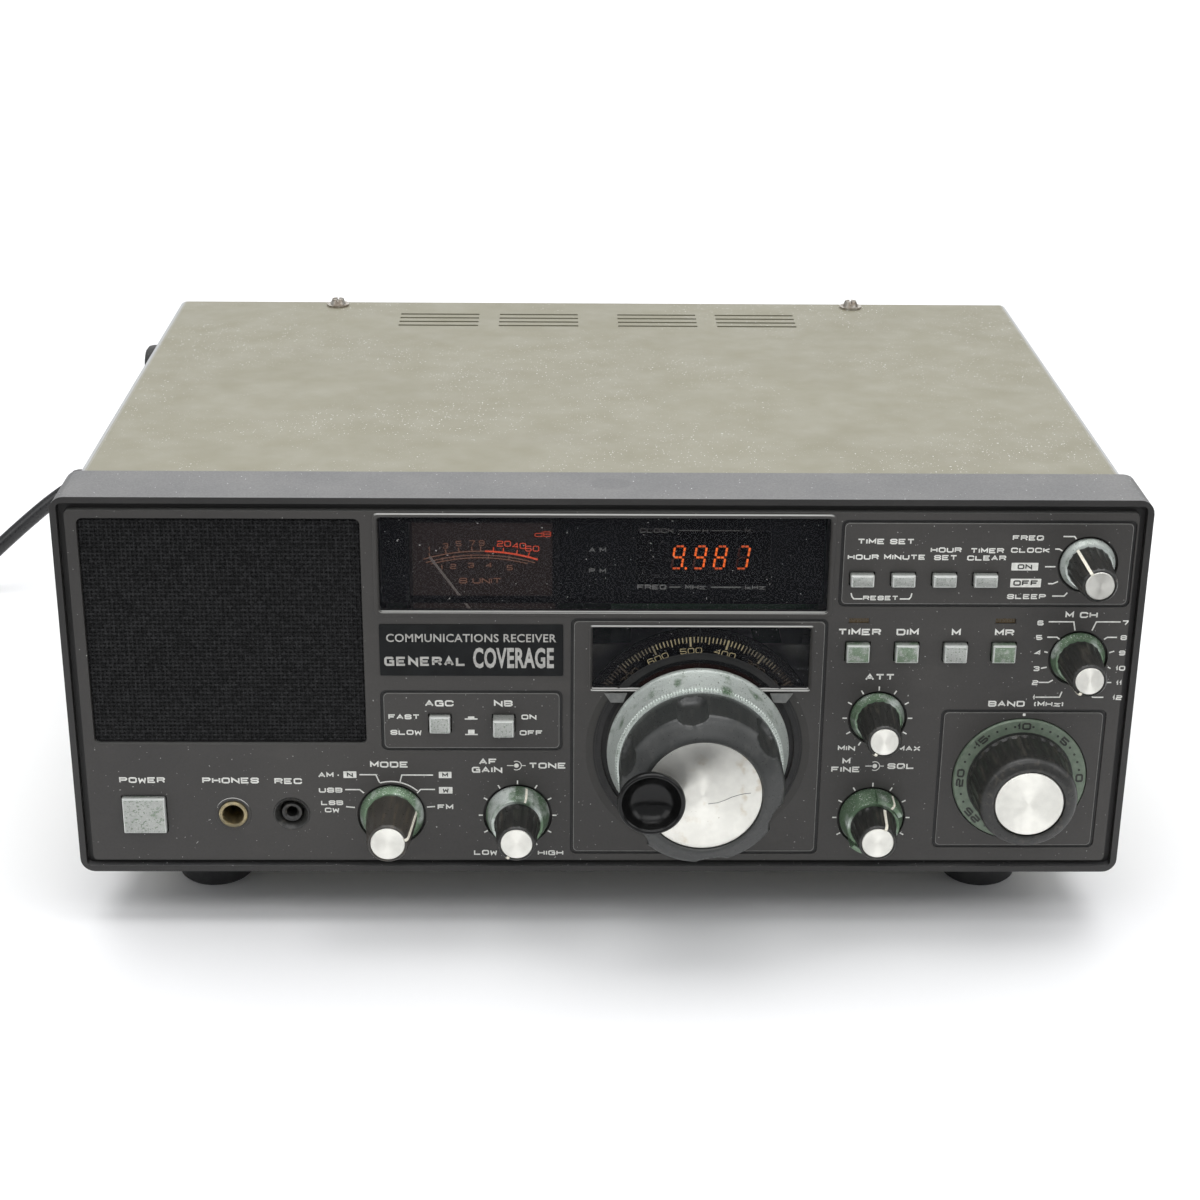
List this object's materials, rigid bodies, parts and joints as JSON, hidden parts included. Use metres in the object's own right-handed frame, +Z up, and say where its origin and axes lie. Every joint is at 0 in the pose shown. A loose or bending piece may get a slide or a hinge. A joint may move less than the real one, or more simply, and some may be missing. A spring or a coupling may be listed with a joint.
{
  "type": "communications receiver",
  "caption": "Tabletop shortwave communications receiver with steel cabinet, digital readout, tuning dial, rotary knobs, push buttons, loudspeaker and mains cord.",
  "frame": {"origin": "on the table under the middle of the cabinet and what stands out of it, mains cord left out", "axes": "+X to the user's right, +Y from the front panel to the back, +Z up"},
  "size_m": [0.5202, 0.3338, 0.1492],
  "materials": {
    "bezel_paint": "satin dark grey-brown paint on die-cast metal",
    "panel_plastic": "fine matte moulded dark grey",
    "plated_steel": "zinc plated",
    "cover_paint": "fine-textured warm grey paint, dusty",
    "board": "lacquered glass-epoxy",
    "shield_steel": "tinned",
    "iron_core": "varnished laminations",
    "rubber": "matte",
    "screw_steel": "plated, lightly rusted",
    "grille_cloth": "open woven black cloth",
    "speaker_steel": "zinc plated",
    "speaker_paper": "pressed fibre",
    "window_acrylic": "glossy smoked acrylic",
    "black_plastic": "matte moulded",
    "meter_paint": "printed brown scale",
    "needle_alloy": "painted thin strip",
    "tube_glass": "flat display tube glass",
    "dial_film": "printed dial",
    "gear_alloy": "cast",
    "shaft_steel": "turned",
    "knob_plastic": "dark grey moulded, worn",
    "skirt_alloy": "turned silver with green patina",
    "gloss_black": "polished",
    "button_plate": "pitted silver plating with green patina",
    "lens_amber": "dim amber",
    "brass": "tarnished",
    "socket_silver": "plated",
    "dial_green": "anodised, worn to green",
    "cord_rubber": "smooth round flex"
  },
  "bodies": {
    "cabinet": {"front_bezel": "bezel_paint", "front_panel": "panel_plastic", "control_plate": "plated_steel", "top_cover": "cover_paint", "bottom_cover": "cover_paint", "chassis": "plated_steel", "rear_panel": "cover_paint", "circuit_boards": "board", "shield_box": "shield_steel", "power_transformer": "iron_core", "feet": "rubber", "side_feet": "rubber", "cover_screws": "screw_steel", "speaker_grille": "grille_cloth", "speaker_frame": "speaker_steel", "display_window": "window_acrylic", "meter_case": "black_plastic", "meter_scale": "meter_paint", "display_tube": "tube_glass", "dial_window": "window_acrylic", "tuning_gearbox": "gear_alloy", "switch_bodies": "black_plastic", "control_bodies": "shield_steel", "indicator_lenses": "lens_amber", "phones_jack": "brass", "record_jack": "black_plastic", "antenna_socket": "socket_silver", "rear_terminals": "black_plastic", "cord_grommet": "rubber", "power_cord": "cord_rubber", "cord_coil": "cord_rubber", "mains_plug": "black_plastic"},
    "tuning_knob": {"tuning_knob": "knob_plastic", "tuning_skirt": "skirt_alloy", "tuning_shaft": "shaft_steel"},
    "finger_knob": {"finger_knob": "gloss_black"},
    "dial": {"dial_disc": "dial_film"},
    "power_button": {"power_button": "button_plate"},
    "agc_button": {"agc_button": "button_plate"},
    "blanker_button": {"blanker_button": "button_plate"},
    "hour_button": {"hour_button": "button_plate"},
    "minute_button": {"minute_button": "button_plate"},
    "set_button": {"set_button": "button_plate"},
    "clear_button": {"clear_button": "button_plate"},
    "timer_button": {"timer_button": "button_plate"},
    "dim_button": {"dim_button": "button_plate"},
    "memory_button": {"memory_button": "button_plate"},
    "recall_button": {"recall_button": "button_plate"},
    "function_knob": {"function_knob": "knob_plastic"},
    "channel_knob": {"channel_knob": "knob_plastic"},
    "attenuator_knob": {"attenuator_knob": "knob_plastic"},
    "mode_knob": {"mode_knob": "knob_plastic"},
    "gain_knob": {"gain_knob": "knob_plastic"},
    "tone_ring": {"tone_ring": "skirt_alloy"},
    "fine_knob": {"fine_knob": "knob_plastic"},
    "squelch_ring": {"squelch_ring": "skirt_alloy"},
    "band_knob": {"band_knob": "knob_plastic", "band_dial": "dial_green"},
    "meter_needle": {"meter_needle": "needle_alloy"},
    "speaker_cone": {"speaker_cone": "speaker_paper"}
  },
  "joints": [
    {"name": "tuning_turn", "type": "hinge", "parent": "cabinet", "child": "tuning_knob", "pos_m": [0.0303, -0.122, 0.064], "axis": [0, 1, 0], "continuous": true},
    {"name": "finger_turn", "type": "hinge", "parent": "tuning_knob", "child": "finger_knob", "pos_m": [0.0143, -0.134, 0.0655], "axis": [0, 1, 0], "continuous": true},
    {"name": "dial_turn", "type": "hinge", "parent": "cabinet", "child": "dial", "pos_m": [0.0303, -0.094, 0.064], "axis": [0, 1, 0], "continuous": true},
    {"name": "power_push", "type": "slide", "parent": "cabinet", "child": "power_button", "axis": [0, -1, 0], "range_m": [0, 0.0028]},
    {"name": "agc_push", "type": "slide", "parent": "cabinet", "child": "agc_button", "axis": [0, -1, 0], "range_m": [0, 0.0028]},
    {"name": "blanker_push", "type": "slide", "parent": "cabinet", "child": "blanker_button", "axis": [0, 1, 0], "range_m": [0, 0.0028]},
    {"name": "timer_push", "type": "slide", "parent": "cabinet", "child": "timer_button", "axis": [0, 1, 0], "range_m": [0, 0.0016]},
    {"name": "dim_push", "type": "slide", "parent": "cabinet", "child": "dim_button", "axis": [0, 1, 0], "range_m": [0, 0.0016]},
    {"name": "hour_push", "type": "slide", "parent": "cabinet", "child": "hour_button", "axis": [0, 1, 0], "range_m": [0, 0.0016], "stiffness_N_per_m": 400},
    {"name": "minute_push", "type": "slide", "parent": "cabinet", "child": "minute_button", "axis": [0, 1, 0], "range_m": [0, 0.0016], "stiffness_N_per_m": 400},
    {"name": "set_push", "type": "slide", "parent": "cabinet", "child": "set_button", "axis": [0, 1, 0], "range_m": [0, 0.0016], "stiffness_N_per_m": 400},
    {"name": "clear_push", "type": "slide", "parent": "cabinet", "child": "clear_button", "axis": [0, 1, 0], "range_m": [0, 0.0016], "stiffness_N_per_m": 400},
    {"name": "memory_push", "type": "slide", "parent": "cabinet", "child": "memory_button", "axis": [0, 1, 0], "range_m": [0, 0.0016], "stiffness_N_per_m": 400},
    {"name": "recall_push", "type": "slide", "parent": "cabinet", "child": "recall_button", "axis": [0, 1, 0], "range_m": [0, 0.0016], "stiffness_N_per_m": 400},
    {"name": "function_turn", "type": "hinge", "parent": "cabinet", "child": "function_knob", "pos_m": [0.1482, -0.11, 0.127], "axis": [0, 1, 0], "range_deg": [-120, 0]},
    {"name": "channel_turn", "type": "hinge", "parent": "cabinet", "child": "channel_knob", "pos_m": [0.148, -0.11, 0.0957], "axis": [0, 1, 0], "range_deg": [0, 330]},
    {"name": "attenuator_turn", "type": "hinge", "parent": "cabinet", "child": "attenuator_knob", "pos_m": [0.0866, -0.11, 0.075], "axis": [0, 1, 0], "range_deg": [0, 300]},
    {"name": "mode_turn", "type": "hinge", "parent": "cabinet", "child": "mode_knob", "pos_m": [-0.0667, -0.11, 0.0405], "axis": [0, 1, 0], "range_deg": [-150, 0]},
    {"name": "gain_turn", "type": "hinge", "parent": "cabinet", "child": "gain_knob", "pos_m": [-0.0266, -0.11, 0.0405], "axis": [0, 1, 0], "range_deg": [0, 300]},
    {"name": "tone_turn", "type": "hinge", "parent": "cabinet", "child": "tone_ring", "pos_m": [-0.0266, -0.104, 0.0405], "axis": [0, 1, 0], "range_deg": [-150, 130]},
    {"name": "fine_turn", "type": "hinge", "parent": "cabinet", "child": "fine_knob", "pos_m": [0.0865, -0.11, 0.0398], "axis": [0, 1, 0], "range_deg": [-165, 115]},
    {"name": "squelch_turn", "type": "hinge", "parent": "cabinet", "child": "squelch_ring", "pos_m": [0.0865, -0.104, 0.0398], "axis": [0, 1, 0], "range_deg": [0, 270]},
    {"name": "band_turn", "type": "hinge", "parent": "cabinet", "child": "band_knob", "pos_m": [0.133, -0.11, 0.0536], "axis": [0, 1, 0], "continuous": true},
    {"name": "needle_swing", "type": "hinge", "parent": "cabinet", "child": "meter_needle", "pos_m": [-0.037, -0.091, 0.101], "axis": [0, 1, 0], "range_deg": [0, 70], "stiffness_Nm_per_rad": 0.0002},
    {"name": "cone_stroke", "type": "slide", "parent": "cabinet", "child": "speaker_cone", "axis": [0, 1, 0], "range_m": [-0.0006, 0.0006], "stiffness_N_per_m": 1500}
  ],
  "couplings": [
    {"joint": "dial_turn", "follows": "tuning_turn", "ratio": 0.05}
  ]
}
